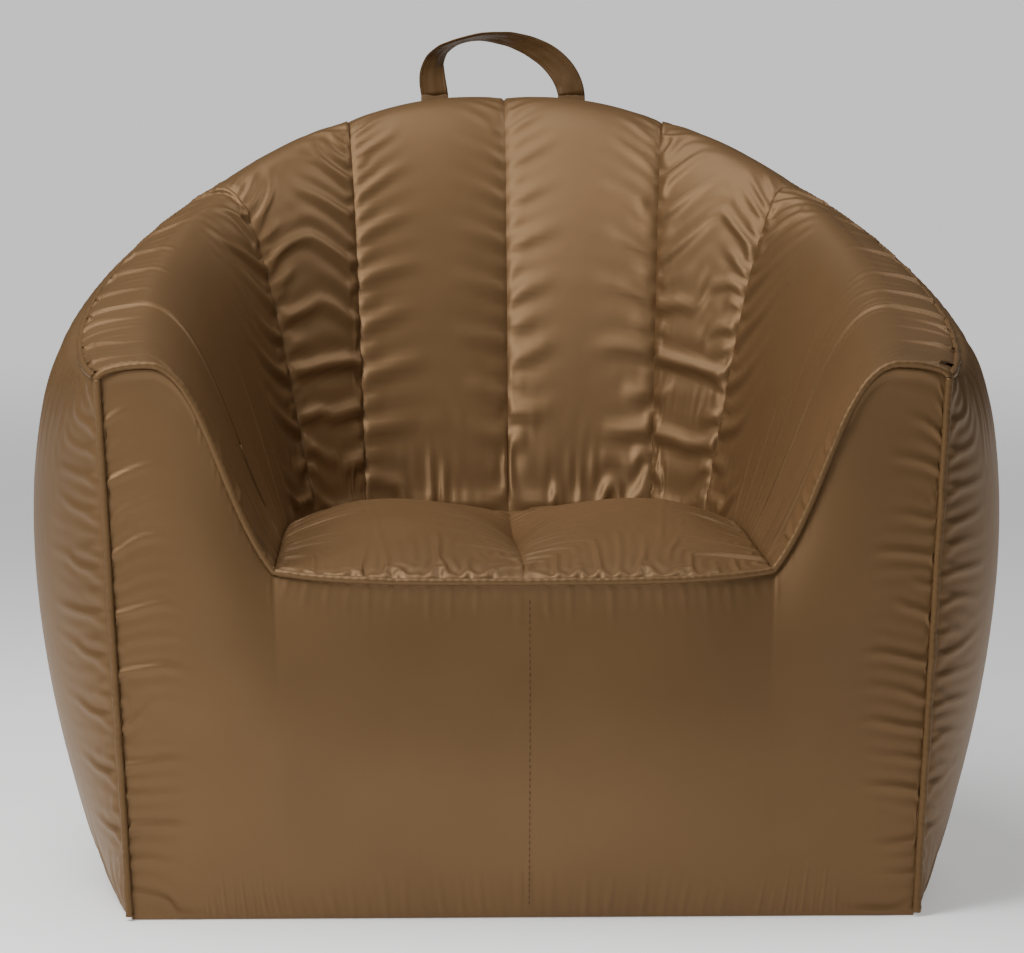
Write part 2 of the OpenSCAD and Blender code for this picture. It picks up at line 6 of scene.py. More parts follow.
import bpy
import numpy as np
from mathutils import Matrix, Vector


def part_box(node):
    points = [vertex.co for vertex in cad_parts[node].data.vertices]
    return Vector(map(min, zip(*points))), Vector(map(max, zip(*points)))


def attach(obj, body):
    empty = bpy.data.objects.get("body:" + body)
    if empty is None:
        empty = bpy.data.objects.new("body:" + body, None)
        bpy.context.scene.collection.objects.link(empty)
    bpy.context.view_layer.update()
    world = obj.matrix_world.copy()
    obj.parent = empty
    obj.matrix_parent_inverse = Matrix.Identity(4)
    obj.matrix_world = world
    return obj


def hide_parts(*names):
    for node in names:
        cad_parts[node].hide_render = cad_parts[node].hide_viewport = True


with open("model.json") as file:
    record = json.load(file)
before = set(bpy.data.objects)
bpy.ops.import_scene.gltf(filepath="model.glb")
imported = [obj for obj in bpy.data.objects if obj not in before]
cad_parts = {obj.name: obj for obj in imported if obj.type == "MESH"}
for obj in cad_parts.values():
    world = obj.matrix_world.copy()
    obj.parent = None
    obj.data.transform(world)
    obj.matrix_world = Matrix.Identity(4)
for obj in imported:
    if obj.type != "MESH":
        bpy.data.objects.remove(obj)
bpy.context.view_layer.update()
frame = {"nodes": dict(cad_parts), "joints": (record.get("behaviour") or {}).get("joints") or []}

MM = 0.001

# ---------------------------------------------------------------- sizes, in metres
CLOTH = 0.8 * MM
PIPING_R = 3.0 * MM
BEDDED = 2.6 * MM
STRAP_T = 2.5 * MM
CORD_R = 2.0 * MM
CORD_CUT = 10 * MM
PIPING_STEP, GATHER, UNEVEN = 1.6 * MM, 6.5 * MM, 12 * MM
RIM_TIP = math.radians(22)
STITCH, STITCH_COLUMN = 5 * MM, 2
STRAP_SKEW, STRAP_TWIST, STRAP_TURN = 16 * MM, math.radians(70), math.radians(24)
STRAP_ROWS = 90
BAND_SHARE = 0.99
TAB_REACH = 0.8 * MM
FILL_GIVE = 34 * MM
CORNER = 18 * MM


def low(node, axis):
    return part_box(node)[0][axis]


def high(node, axis):
    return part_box(node)[1][axis]


RIM_HALF = high("left_arm_panel", 0)
WIDEST = high("left_side_panel", 0)
FRONT_TOP = high("left_front_panel", 0)
SEAT_HALF = high("left_seat_panel", 0) - CLOTH
FRONT_Y = low("left_side_panel", 1)
RIM_REAR = high("left_inner_back_gore", 1)
CREASE_REAR = high("left_seat_panel", 1) - CLOTH
SEAT_H = low("left_arm_panel", 2) + CLOTH
ROLL = 9 * MM
ARM_H = high("left_front_panel", 2) - ROLL
BACK_H = high("left_rear_panel", 2)
SIDE_BULGE = WIDEST - RIM_HALF
BACK_BULGE = high("left_rear_panel", 1) - RIM_REAR
SIDE_INSET = 28 * MM
REAR_INSET = 35 * MM
BASE_HALF = RIM_HALF - SIDE_INSET
BASE_REAR = RIM_REAR - REAR_INSET
FRONT_BASE = RIM_HALF - 46 * MM
FRONT_BULGE = 22 * MM
EDGE_BOW = 12 * MM
EDGE_SAG = 7 * MM
SEAT_CROWN = 28 * MM
VALLEY, VALLEY_W, TUFT = 24 * MM, 22 * MM, 10 * MM
PUFF = 8 * MM
TURN_Y = FRONT_Y + 186 * MM

# Angles round the back's curve at the seams; past TURN the U runs straight down the arm to END.
INNER, OUTER, TURN, END = 25.0, 50.0, 90.0, 180.0
CLIMB = 1.65
BELLY = 0.42
BELLY_POWER = math.log(0.5) / math.log(BELLY)
ARM_WALL = np.array([[0, 0], [0.30, 0.30], [0.42, 1], [0.72, 1]])
BACK_WALL = np.array([[0, 0], [0.25, 0.45], [0.50, 1], [0.80, 1]])
ROLL_START = 7 / 11

# Cells of the cloth: each count is a multiple of four, because the cloth is solved coarse to fine.
INNER_N, OUTER_N, ARM_N = 52, 44, 176
SECTION_N, WALL_N = 132, 148
GORE_N = INNER_N + OUTER_N


def outline(angle, half, front_half, rear_y, square):
    """Plan points of an outline: a superellipse round the back, then the arm's run to the front."""
    r = np.radians(np.minimum(angle, TURN))
    x = half * np.sin(r) ** (2 / square)
    y = TURN_Y + (rear_y - TURN_Y) * np.clip(np.cos(r), 0, 1) ** (2 / square)
    run = np.clip((angle - TURN) / (END - TURN), 0, 1)
    return np.stack([x + (front_half - half) * run ** 2, y + (FRONT_Y - TURN_Y) * run], -1)


def stations():
    """Angles of the rim and of the crease at each station, from the middle of the back to the arm's front."""
    share = ARM_N * 11 // 18
    rim = np.concatenate([
        np.linspace(0, INNER, INNER_N + 1),
        np.linspace(INNER, OUTER, OUTER_N + 1)[1:],
        np.linspace(OUTER, TURN, share + 1)[1:],
        np.linspace(TURN, END, ARM_N - share + 1)[1:],
    ])
    # On the crease the gores' stations are even in x, and the arm's are even in y.
    root = lambda a: math.sqrt(math.sin(math.radians(a)))
    across = np.concatenate([
        np.linspace(0, root(INNER), INNER_N + 1), np.linspace(root(INNER), root(OUTER), OUTER_N + 1)[1:]])
    gores = np.degrees(np.arcsin(across ** 2))
    back = math.sqrt(math.cos(math.radians(OUTER)))
    down = np.linspace(back, 0, share + 1)[1:]
    crease = np.concatenate([gores, np.degrees(np.arccos(down ** 2)), rim[GORE_N + share + 1:]])
    return rim, crease


RIM_A, CREASE_A = stations()


def crease_line():
    p = outline(CREASE_A, SEAT_HALF, SEAT_HALF, CREASE_REAR, 4)
    return np.column_stack([p, np.full(len(p), SEAT_H)])


def rim_line():
    p = outline(RIM_A, RIM_HALF, FRONT_TOP, RIM_REAR, 2)
    rise = np.clip((p[:, 1] - FRONT_Y) / (RIM_REAR - FRONT_Y), 0, 1) ** CLIMB
    return np.column_stack([p, ARM_H + (BACK_H - ARM_H) * rise])


def base_line():
    p = outline(RIM_A, BASE_HALF, FRONT_BASE, BASE_REAR, 2.2)
    return np.column_stack([p, np.zeros(len(p))])


CREASE, RIM, BASE = crease_line(), rim_line(), base_line()
OUT = (RIM - CREASE) * [1, 1, 0]
OUT /= np.linalg.norm(OUT, axis=1)[:, None]


def bezier(p, t):
    t = t[..., None]
    return (1 - t) ** 3 * p[0] + 3 * t * (1 - t) ** 2 * p[1] + 3 * t * t * (1 - t) * p[2] + t ** 3 * p[3]


def section_share(arm, rim_share, v):
    """Share of reach and height from the crease to the rim: up the wall, then over the roll."""
    walls = BACK_WALL * (1 - arm) + ARM_WALL * arm
    up = bezier(walls, np.clip(v / ROLL_START, 0, 1))
    turn = np.radians(90 * np.clip((v - ROLL_START) / (1 - ROLL_START), 0, 1))
    over = np.stack([walls[3, 0] + (1 - walls[3, 0]) * np.sin(turn),
                     1 + (rim_share - 1) * (1 - np.cos(turn))], -1)
    return np.where((v <= ROLL_START)[:, None], up, over)


def seam_share(a):
    return np.where(a < INNER, a / INNER,
                    np.where(a < OUTER, (a - INNER) / (OUTER - INNER), (a - OUTER) / (END - OUTER)))


def arms_and_back():
    """Grid of points [station, share from crease to rim]."""
    v = np.linspace(0, 1, SECTION_N + 1)
    grid = np.zeros((len(RIM_A), len(v), 3))
    for i, (c, r, o) in enumerate(zip(CREASE, RIM, OUT)):
        arm = min(1, max(0, (RIM_A[i] - OUTER) / (TURN - OUTER)))
        top = r[2] + ROLL
        m = section_share(arm, (r[2] - c[2]) / (top - c[2]), v)
        reach = np.hypot(*(r - c)[:2])
        slope = np.gradient(m, axis=0) * [reach, top - c[2]]
        slope /= np.linalg.norm(slope, axis=1)[:, None]
        swell = PUFF * max(0, math.sin(math.pi * seam_share(RIM_A[i]))) ** 0.6 * np.sin(math.pi * v ** 0.6)
        grid[i, :, :2] = c[:2] + (r - c)[:2] * m[:, :1] - (swell * slope[:, 1])[:, None] * o[:2]
        grid[i, :, 2] = c[2] + (top - c[2]) * m[:, 1] + swell * slope[:, 0]
    return grid


def walls():
    """Grid of points [station, share from rim to floor]."""
    w = np.linspace(0, 1, WALL_N + 1)
    side = SIDE_BULGE + BELLY * SIDE_INSET
    back = BACK_BULGE + BELLY * REAR_INSET
    run = np.clip((RIM_A - TURN) / (END - TURN), 0, 1)
    round_back = np.cos(np.radians(np.minimum(RIM_A, TURN))) ** 2
    swell = np.where(RIM_A <= TURN, side + (back - side) * round_back,
                     side * np.clip(np.cos(np.pi / 2 * run), 0, 1) ** 0.6)
    profile = np.clip(np.sin(np.pi * w ** BELLY_POWER), 0, 1) ** 0.6
    grid = RIM[:, None] + (BASE - RIM)[:, None] * w[None, :, None]
    return grid + OUT[:, None] * swell[:, None, None] * profile[None, :, None]


SECTIONS, WALLS = arms_and_back(), walls()


def seat_edge(u):
    """The seat's front edge from its middle, u = 0, to the crease's end, u = 1."""
    u = np.asarray(u, float)[..., None]
    bow = 1 - u ** 4
    return np.concatenate([SEAT_HALF * u, FRONT_Y - EDGE_BOW * bow, SEAT_H - EDGE_SAG * bow], -1)


def front_face():
    """Grid of points [column from the middle to the corner, share from the top edge to the floor]."""
    edge = np.concatenate([seat_edge(np.linspace(0, 1, GORE_N + 1)), SECTIONS[-1, 1:]])
    share = edge[:, 0] / FRONT_TOP
    foot = np.stack([FRONT_BASE * share, np.full(len(share), FRONT_Y), np.zeros(len(share))], -1)
    w = np.linspace(0, 1, WALL_N + 1)
    grid = edge[:, None] + (foot - edge)[:, None] * w[None, :, None]
    # The bow of the seat's edge dies out a little way down, and the belly follows height, not the edge.
    grid[..., 1] = FRONT_Y + (edge[:, None, 1] - FRONT_Y) * (1 - w[None]) ** 4
    climb = np.clip((edge[:, 0] - 0.5 * SEAT_HALF) / (FRONT_TOP - 0.5 * SEAT_HALF), 0, 1)
    tall = SEAT_H + (ARM_H - SEAT_H) * climb ** 2 * (3 - 2 * climb)
    belly = np.sin(np.pi * np.clip(grid[..., 2] / tall[:, None], 0, 1)) ** 0.8
    grid[..., 1] -= FRONT_BULGE * belly * (1 - (1 - w[None]) ** 6) * (1 - share ** 4)[:, None]
    # The corner of the seat's edge leaves no crease in the cloth below it.
    y = np.concatenate([grid[1:2, :, 1], grid[..., 1]])
    for _ in range(160):
        y[1:-1] += 0.25 * np.clip(w / 0.06, 0, 1) * (y[2:] - 2 * y[1:-1] + y[:-2])
        y[0] = y[2]
    grid[..., 1] = y[1:]
    return grid


def seat():
    """Grid of points [column from the middle to the side, row from the front to the back]."""
    u = np.linspace(0, 1, GORE_N + 1)
    v = np.linspace(0, 1, ARM_N + 1)
    front, back = seat_edge(u)[:, None], CREASE[:GORE_N + 1][:, None]
    side = CREASE[GORE_N:][::-1][None]
    f0, f1, b0, b1 = front[0], front[-1], back[0], back[-1]
    u, v = u[:, None, None], v[None, :, None]
    middle = f0 + (b0 - f0) * v
    corners = (f0 + (f1 - f0) * u) * (1 - v) + (b0 + (b1 - b0) * u) * v
    grid = front + (back - front) * v + middle + (side - middle) * u - corners
    crown = (SEAT_CROWN * np.clip(np.cos(np.pi / 2 * u), 0, 1) ** 0.5 * (0.8 + 0.2 * np.sin(np.pi * u))
             * np.clip(np.sin(np.pi * v ** 0.8), 0, 1) ** 0.6)
    valley = VALLEY * np.exp(-SEAT_HALF * u / VALLEY_W) * np.clip(np.sin(np.pi * v ** 1.4), 0, 1)
    tuft = TUFT * np.sin(np.pi * u) * np.clip(np.sin(np.pi * v ** 1.2), 0, 1)
    grid[..., 2] += (crown + tuft - valley)[..., 0]
    return grid


# ---------------------------------------------------------------- cloth
def grid_normals(p):
    du, dv = np.empty_like(p), np.empty_like(p)
    du[1:-1], du[0], du[-1] = p[2:] - p[:-2], p[1] - p[0], p[-1] - p[-2]
    dv[:, 1:-1], dv[:, 0], dv[:, -1] = p[:, 2:] - p[:, :-2], p[:, 1] - p[:, 0], p[:, -1] - p[:, -2]
    n = np.cross(du, dv)
    return n / np.maximum(np.linalg.norm(n, axis=-1, keepdims=True), 1e-12)


def pull(a, b, wa, wb, rest, squeeze):
    """Moves the points of two slices of a grid until each pair is its rest length apart."""
    d = b - a
    length = np.sqrt(np.einsum("...k,...k", d, d)) + 1e-12
    k = (length - rest) / length
    k = np.where(k > 0, k, squeeze * k) / np.maximum(wa + wb, 1e-6)
    step = d * k[..., None]
    a += step * wa[..., None]
    b -= step * wb[..., None]


def laplacian(p):
    out = np.zeros_like(p)
    out[1:-1, 1:-1] = 0.25 * (p[2:, 1:-1] + p[:-2, 1:-1] + p[1:-1, 2:] + p[1:-1, :-2]) - p[1:-1, 1:-1]
    return out


def doubled(d):
    """A grid of displacements with a new row and column between each two."""
    n, m, _ = d.shape
    rows = np.zeros((2 * n - 1, m, 3), d.dtype)
    rows[::2], rows[1::2] = d, 0.5 * (d[1:] + d[:-1])
    out = np.zeros((2 * n - 1, 2 * m - 1, 3), d.dtype)
    out[:, ::2], out[:, 1::2] = rows, 0.5 * (rows[:, 1:] + rows[:, :-1])
    return out


def distances(p, axis):
    """How far each point is from the grid's first and last edge, along an axis."""
    step = np.linalg.norm(np.diff(p, axis=axis), axis=-1)
    pad = [(0, 0), (0, 0)]
    pad[axis] = (1, 0)
    run = np.pad(np.cumsum(step, axis=axis), pad)
    total = run[-1:] if axis == 0 else run[:, -1:]
    return run, total - run


def folds(shape, across, lean, seed):
    """Faint long ridges where folds start, so many metres across and leaning so many degrees."""
    rng = np.random.default_rng(seed)
    u0, _ = distances(shape, 0)
    v0, _ = distances(shape, 1)
    a = math.radians(lean)
    ridge = np.zeros(shape.shape[:2])
    for _ in range(9):
        turn = a + rng.normal() * 0.22
        k = 2 * np.pi / (across * rng.uniform(0.75, 1.4))
        along = u0 * math.cos(turn) + v0 * math.sin(turn)
        side = v0 * math.cos(turn) - u0 * math.sin(turn)
        drift = 0.9 * np.sin(along / (across * rng.uniform(1.2, 2.4)) + rng.uniform(0, 6.3))
        ridge += np.sin(side * k + drift + rng.uniform(0, 6.3))
    return ridge / 3


def sewn(shape, outward, edges, seed, slack, fold, reach=0.032, firm=0.008, cap=0.009):
    """The panel as cloth: its edges are sewn to their seams, the cloth is longer than the seams that
    gather it, and the filling under it gives way only a little. edges gives the extra length at the first
    and last row and column, slack the extra length all over, and fold how its long folds run: width, lean,
    strength."""
    rng = np.random.default_rng(seed)
    u0, u1 = distances(shape, 0)
    v0, v1 = distances(shape, 1)
    along = [slack + sum(e * np.exp(-d / reach) for e, d in pair)
             for pair in (((edges[2], v0), (edges[3], v1)), ((edges[0], u0), (edges[1], u1)))]
    width, lean, strength = fold
    ridges = folds(shape, width, lean, seed + 500) * strength * 0.0011
    move = None
    for step, rounds in ((4, 140), (2, 150), (1, 90)):
        base = shape[::step, ::step].astype(np.float32)
        eu, ev = (1 + e[::step, ::step].astype(np.float32) for e in along)
        noise = rng.normal(size=base.shape[:2] + (1,)).astype(np.float32)
        for _ in range(2):
            noise += laplacian(noise)
        face = (grid_normals(base) * outward).astype(np.float32)
        if move is None:
            move = (noise * 0.0005 + ridges[::step, ::step, None]) * face
        else:
            move = doubled(move) + noise * face * 0.0003 * step
        move[0] = move[-1] = move[:, 0] = move[:, -1] = 0
        p = (base + move).astype(np.float32)
        free = np.zeros(base.shape[:2], np.float32)
        free[1:-1, 1:-1] = 1
        rest_u = np.linalg.norm(np.diff(base, axis=0), axis=-1) * 0.5 * (eu[1:] + eu[:-1])
        rest_v = np.linalg.norm(np.diff(base, axis=1), axis=-1) * 0.5 * (ev[:, 1:] + ev[:, :-1])
        both = 0.5 * (eu + ev)[1:, 1:]
        rest_a = np.linalg.norm(base[1:, 1:] - base[:-1, :-1], axis=-1) * both
        rest_b = np.linalg.norm(base[1:, :-1] - base[:-1, 1:], axis=-1) * both
        speed = np.zeros_like(p)
        for _ in range(rounds):
            before = p.copy()
            p += free[..., None] * 0.8 * speed
            for k in (0, 1):
                pull(p[k:-1:2], p[k + 1::2], free[k:-1:2], free[k + 1::2], rest_u[k::2], 0.9)
                pull(p[:, k:-1:2], p[:, k + 1::2], free[:, k:-1:2], free[:, k + 1::2], rest_v[:, k::2], 0.9)
            for k in (0, 1):
                pull(p[k:-1:2, :-1], p[k + 1::2, 1:], free[k:-1:2, :-1], free[k + 1::2, 1:],
                     rest_a[k::2], 0.3)
                pull(p[k:-1:2, 1:], p[k + 1::2, :-1], free[k:-1:2, 1:], free[k + 1::2, :-1],
                     rest_b[k::2], 0.3)
            off = p - base
            bend = laplacian(off) * free[..., None]
            off -= 0.08 * free[..., None] * laplacian(bend)
            # The filling pushes back: hardly where the cloth stands off it, firmly where it is pressed in.
            proud = np.einsum("...k,...k", off, face)[..., None]
            off -= face * np.where(proud > 0, firm * proud, 4 * firm * proud)
            far = np.linalg.norm(off, axis=-1, keepdims=True)
            p = base + off * np.minimum(1, cap / np.maximum(far, 1e-9))
            speed = p - before
        move = p - base
    # Several seam allowances meet at a panel's corner, so the cloth is stiff and lies flat there.
    corner = np.hypot(np.minimum(u0, u1), np.minimum(v0, v1))
    return shape + move * (1 - np.exp(-(corner / CORNER) ** 2))[..., None]


def grid_mesh(name, p, outward):
    """A mesh object from a grid of points, facing outward."""
    n, m, _ = p.shape
    index = np.arange(n * m).reshape(n, m)
    a, b, c, d = index[:-1, :-1], index[1:, :-1], index[1:, 1:], index[:-1, 1:]
    quads = np.stack([a, b, c, d] if outward > 0 else [a, d, c, b], -1).reshape(-1, 4)
    return mesh_object(name, p.reshape(-1, 3), quads.tolist())


def mesh_object(name, points, faces):
    mesh = bpy.data.meshes.new(name)
    mesh.from_pydata(np.asarray(points, float).tolist(), [], faces)
    mesh.polygons.foreach_set("use_smooth", [len(face) <= 4 for face in faces])
    mesh.update()
    obj = bpy.data.objects.new(name, mesh)
    bpy.context.scene.collection.objects.link(obj)
    return obj


# ---------------------------------------------------------------- materials
def fabric(name, colour, roughness, weave, weave_depth, crease_depth=0.0, shine=0.0):
    """Coated cloth: a soft shine, a fine weave and, where asked, shallow creases."""
    mat = bpy.data.materials.new(name)
    mat.use_nodes = True
    tree = mat.node_tree
    shader = tree.nodes["Principled BSDF"]
    add = tree.nodes.new
    link = tree.links.new
    where = add("ShaderNodeTexCoord")
    cloud = add("ShaderNodeTexNoise")
    cloud.inputs["Scale"].default_value = 9
    cloud.inputs["Detail"].default_value = 4
    link(where.outputs["Object"], cloud.inputs["Vector"])
    ramp = add("ShaderNodeValToRGB")
    ramp.color_ramp.elements[0].position = 0.3
    ramp.color_ramp.elements[1].position = 0.7
    ramp.color_ramp.elements[0].color = [c * 0.92 for c in colour] + [1]
    ramp.color_ramp.elements[1].color = [min(1, c * 1.06) for c in colour] + [1]
    link(cloud.outputs["Fac"], ramp.inputs["Fac"])
    link(ramp.outputs["Color"], shader.inputs["Base Color"])
    dull = add("ShaderNodeMapRange")
    dull.inputs["To Min"].default_value = roughness - 0.03
    dull.inputs["To Max"].default_value = roughness + 0.04
    link(cloud.outputs["Fac"], dull.inputs["Value"])
    link(dull.outputs["Result"], shader.inputs["Roughness"])
    shader.inputs["Specular IOR Level"].default_value = 0.32
    shader.inputs["Specular Tint"].default_value = (1.0, 0.82, 0.62, 1)
    shader.inputs["Metallic"].default_value = shine
    fine = add("ShaderNodeTexNoise")
    fine.inputs["Scale"].default_value = weave
    fine.inputs["Detail"].default_value = 1
    link(where.outputs["Object"], fine.inputs["Vector"])
    grain = add("ShaderNodeBump")
    grain.inputs["Strength"].default_value = 0.25
    grain.inputs["Distance"].default_value = weave_depth
    link(fine.outputs["Fac"], grain.inputs["Height"])
    if crease_depth:
        folds = add("ShaderNodeTexNoise")
        folds.inputs["Scale"].default_value = 26
        folds.inputs["Detail"].default_value = 2
        folds.inputs["Distortion"].default_value = 0.6
        link(where.outputs["Object"], folds.inputs["Vector"])
        soft = add("ShaderNodeBump")
        soft.inputs["Strength"].default_value = 0.35
        soft.inputs["Distance"].default_value = crease_depth
        link(folds.outputs["Fac"], soft.inputs["Height"])
        link(soft.outputs["Normal"], grain.inputs["Normal"])
    link(grain.outputs["Normal"], shader.inputs["Normal"])
    return mat


def plain(name, colour, roughness, metallic=0.0):
    """Metal, plastic or cord, with a little unevenness in its shine."""
    mat = bpy.data.materials.new(name)
    mat.use_nodes = True
    tree = mat.node_tree
    shader = tree.nodes["Principled BSDF"]
    shader.inputs["Metallic"].default_value = metallic
    shader.inputs["Base Color"].default_value = list(colour) + [1]
    noise = tree.nodes.new("ShaderNodeTexNoise")
    noise.inputs["Scale"].default_value = 300
    spread = tree.nodes.new("ShaderNodeMapRange")
    spread.inputs["To Min"].default_value = roughness - 0.06
    spread.inputs["To Max"].default_value = roughness + 0.06
    tree.links.new(noise.outputs["Fac"], spread.inputs["Value"])
    tree.links.new(spread.outputs["Result"], shader.inputs["Roughness"])
    return mat


COVER = fabric("cover_satin", (0.150, 0.085, 0.038), 0.43, 2200, 0.05 * MM, 0.5 * MM, 0.35)
PIPING = fabric("piping_satin", (0.130, 0.073, 0.031), 0.45, 2200, 0.05 * MM, shine=0.25)
STRAP = fabric("strap_satin", (0.100, 0.054, 0.022), 0.46, 900, 0.12 * MM)
THREAD = fabric("thread", (0.070, 0.036, 0.016), 0.6, 3000, 0.05 * MM)
CORD = plain("cord_cotton", (0.75, 0.72, 0.66), 0.9)
TAPE = fabric("zip_tape_weave", (0.055, 0.037, 0.025), 0.8, 1600, 0.1 * MM)
COIL = plain("zip_nylon", (0.045, 0.032, 0.022), 0.45)
METAL = plain("zip_plating", (0.30, 0.28, 0.25), 0.35, 1.0)
BEADS = plain("beads_foam", (0.9, 0.9, 0.88), 0.85)
SIDES = {"left": 1, "right": -1}


def dress(obj, material):
    obj.data.materials.clear()
    obj.data.materials.append(material)


# ---------------------------------------------------------------- panels
def mirrored(p, side):
    return p * [side, 1, 1]


# Grid, which way round it is seen from outside (1 or -1), the extra length of cloth gathered at the first
# row, last row, first column and last column, the slack all over, and the long folds' width, lean and depth.
PANELS = {
    "inner_back_gore": (SECTIONS[:INNER_N + 1], 1, (0.05, 0.07, 0.10, 0.04), 0.009, (0.045, 40, 1.2)),
    "outer_back_gore": (SECTIONS[INNER_N:GORE_N + 1], 1, (0.08, 0.08, 0.11, 0.05), 0.030, (0.038, 32, 1.8)),
    "arm_panel": (SECTIONS[GORE_N:], 1, (0.13, 0.09, 0.11, 0.12), 0.028, (0.048, -14, 3.0)),
    "rear_panel": (WALLS[:GORE_N + 1], 1, (0.04, 0.04, 0.06, 0.07), 0.010, (0.080, 50, 1.4)),
    "side_panel": (WALLS[GORE_N:], 1, (0.04, 0.08, 0.06, 0.07), 0.011, (0.080, 55, 1.8)),
    "front_panel": (front_face(), -1, (0.012, 0.08, 0.035, 0.05), 0.005, (0.090, 25, 1.2)),
    "seat_panel": (seat(), 1, (0.08, 0.09, 0.13, 0.10), 0.017, (0.046, 6, 2.6)),
}


def panels():
    made = {}
    for number, (kind, (grid, outward, edges, slack, fold)) in enumerate(PANELS.items()):
        for name, side in SIDES.items():
            shape = mirrored(grid, side)
            shape = sewn(shape, outward * side, edges, 10 * number + (side > 0), slack, fold)
            node = f"{name}_{kind}"
            piece = grid_mesh(f"{node}_cloth", shape, outward * side)
            dress(piece, COVER)
            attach(piece, "cover")
            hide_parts(node)
            made[node] = shape
    return made


# ---------------------------------------------------------------- piping and strap
def swept(name, path, outs, radius, sides=10):
    """A round tube along a path; radius is one value or one for each point."""
    path, outs = np.asarray(path, float), np.asarray(outs, float)
    t = np.gradient(path, axis=0)
    t /= np.linalg.norm(t, axis=1)[:, None]
    n = outs - np.einsum("ij,ij->i", outs, t)[:, None] * t
    n /= np.linalg.norm(n, axis=1)[:, None]
    b = np.cross(t, n)
    a = np.linspace(0, 2 * np.pi, sides, endpoint=False)
    ring = np.cos(a)[None, :, None] * n[:, None] + np.sin(a)[None, :, None] * b[:, None]
    radius = np.broadcast_to(np.asarray(radius), len(path))[:, None, None]
    points = (path[:, None] + ring * radius).reshape(-1, 3)
    return mesh_object(name, points, tube_faces(len(path), sides))


def tube_faces(rows, count):
    """Quads between rings of count points, and one face over each end."""
    i, k = np.meshgrid(np.arange(rows - 1), np.arange(count), indexing="ij")
    p, q = i * count + k, i * count + (k + 1) % count
    faces = np.stack([p, q, q + count, p + count], -1).reshape(-1, 4).tolist()
    last = (rows - 1) * count
    return faces + [list(range(count))[::-1], [last + k for k in range(count)]]


def resampled(path, outs, step):
    path, outs = np.asarray(path, float), np.asarray(outs, float)
    run = np.concatenate([[0], np.cumsum(np.linalg.norm(np.diff(path, axis=0), axis=1))])
    at = np.linspace(0, run[-1], max(2, int(run[-1] / step) + 1))
    pick = lambda v: np.stack([np.interp(at, run, v[:, k]) for k in range(3)], -1)
    return at, pick(path), pick(outs)


def piping(name, path, outs, seed):
    """Piping whose cloth is gathered by its stitches every few millimetres."""
    run, p, o = resampled(path, outs, PIPING_STEP)
    rng = np.random.default_rng(seed)
    drift = np.cumsum(rng.normal(size=len(run))) * 0.16
    gather = np.sin(2 * np.pi * run / GATHER + drift)
    knots = np.arange(0, run[-1] + 30 * MM, UNEVEN)
    uneven = np.interp(run, knots, rng.normal(size=len(knots)))
    radius = PIPING_R + 0.16 * MM * gather + 0.12 * MM * uneven
    p = p + o * (0.25 * MM * uneven)[:, None]
    piece = swept(f"{name}_tube", p, o, radius)
    dress(piece, PIPING)
    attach(piece, "cover")
    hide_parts(name)
    ends = int(CORD_CUT / PIPING_STEP)
    cord = swept(f"{name}_core", p[ends:-ends], o[ends:-ends], CORD_R, sides=8)
    dress(cord, CORD)
    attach(cord, "cover")
    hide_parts(f"{name}_cord")


def topstitch(panel):
    """The line of stitches beside the front's centre seam, each a short round dash lying on the cloth."""
    line = panel[STITCH_COLUMN, 6:-4]
    normal = np.array([0, -1.0, 0])
    run, p, _ = resampled(line, np.broadcast_to(normal, line.shape), 0.5 * MM)
    points, faces = [], []
    a = np.linspace(0, 2 * np.pi, 6, endpoint=False)
    for start in np.arange(2 * MM, run[-1] - STITCH, STITCH):
        for share in np.linspace(0, 1, 5):
            at = start + share * STITCH * 0.62
            middle = np.array([np.interp(at, run, p[:, k]) for k in range(3)]) + normal * 0.12 * MM
            r = 0.42 * MM * (0.35 + 0.65 * math.sin(math.pi * share))
            base = len(points)
            points += [middle + r * np.array([math.cos(t), math.sin(t), 0]) for t in a]
            if share:
                faces += [[base - 6 + k, base - 6 + (k + 1) % 6, base + (k + 1) % 6, base + k]
                          for k in range(6)]
            if share in (0, 1):
                faces.append([base + k for k in (range(6) if share else range(5, -1, -1))])
    thread = mesh_object("front_topstitch", points, faces)
    dress(thread, THREAD)
    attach(thread, "cover")


def unit(v):
    return v / np.linalg.norm(v, axis=-1, keepdims=True)


def both_sides(half):
    return np.concatenate([(half * [-1, 1, 1])[:0:-1], half])


def all_piping():
    rim_outs = both_sides(math.cos(RIM_TIP) * OUT + [0, 0, math.sin(RIM_TIP)])
    rim_path = both_sides(RIM) + BEDDED * rim_outs
    piping("rim_piping", rim_path[3:-3], rim_outs[3:-3], 1)
    edge = np.concatenate([seat_edge(np.linspace(0, 1, GORE_N + 1)), SECTIONS[-1, 1:]])
    d = np.gradient(edge, axis=0)
    normal = unit(np.stack([-d[:, 2], 0 * d[:, 0], d[:, 0]], -1))
    outs = both_sides(unit(normal + [0, -1, 0]))
    piping("front_piping", both_sides(edge) + BEDDED * outs, outs, 2)
    for name, side in SIDES.items():
        out = unit(np.array([side, -1.0, 0.0]))
        line = mirrored(WALLS[-1], side) + BEDDED * out
        line = line[line[:, 2] > 2 * MM]
        piping(f"{name}_side_piping", line, np.broadcast_to(out, line.shape), 3 + side)


def rounded(across, least):
    """Thickness across the band, which falls off round its two folded edges."""
    return np.sqrt(np.clip(1 - np.clip((np.abs(across) - 0.93) / 0.07, 0, 1) ** 2, least, 1))


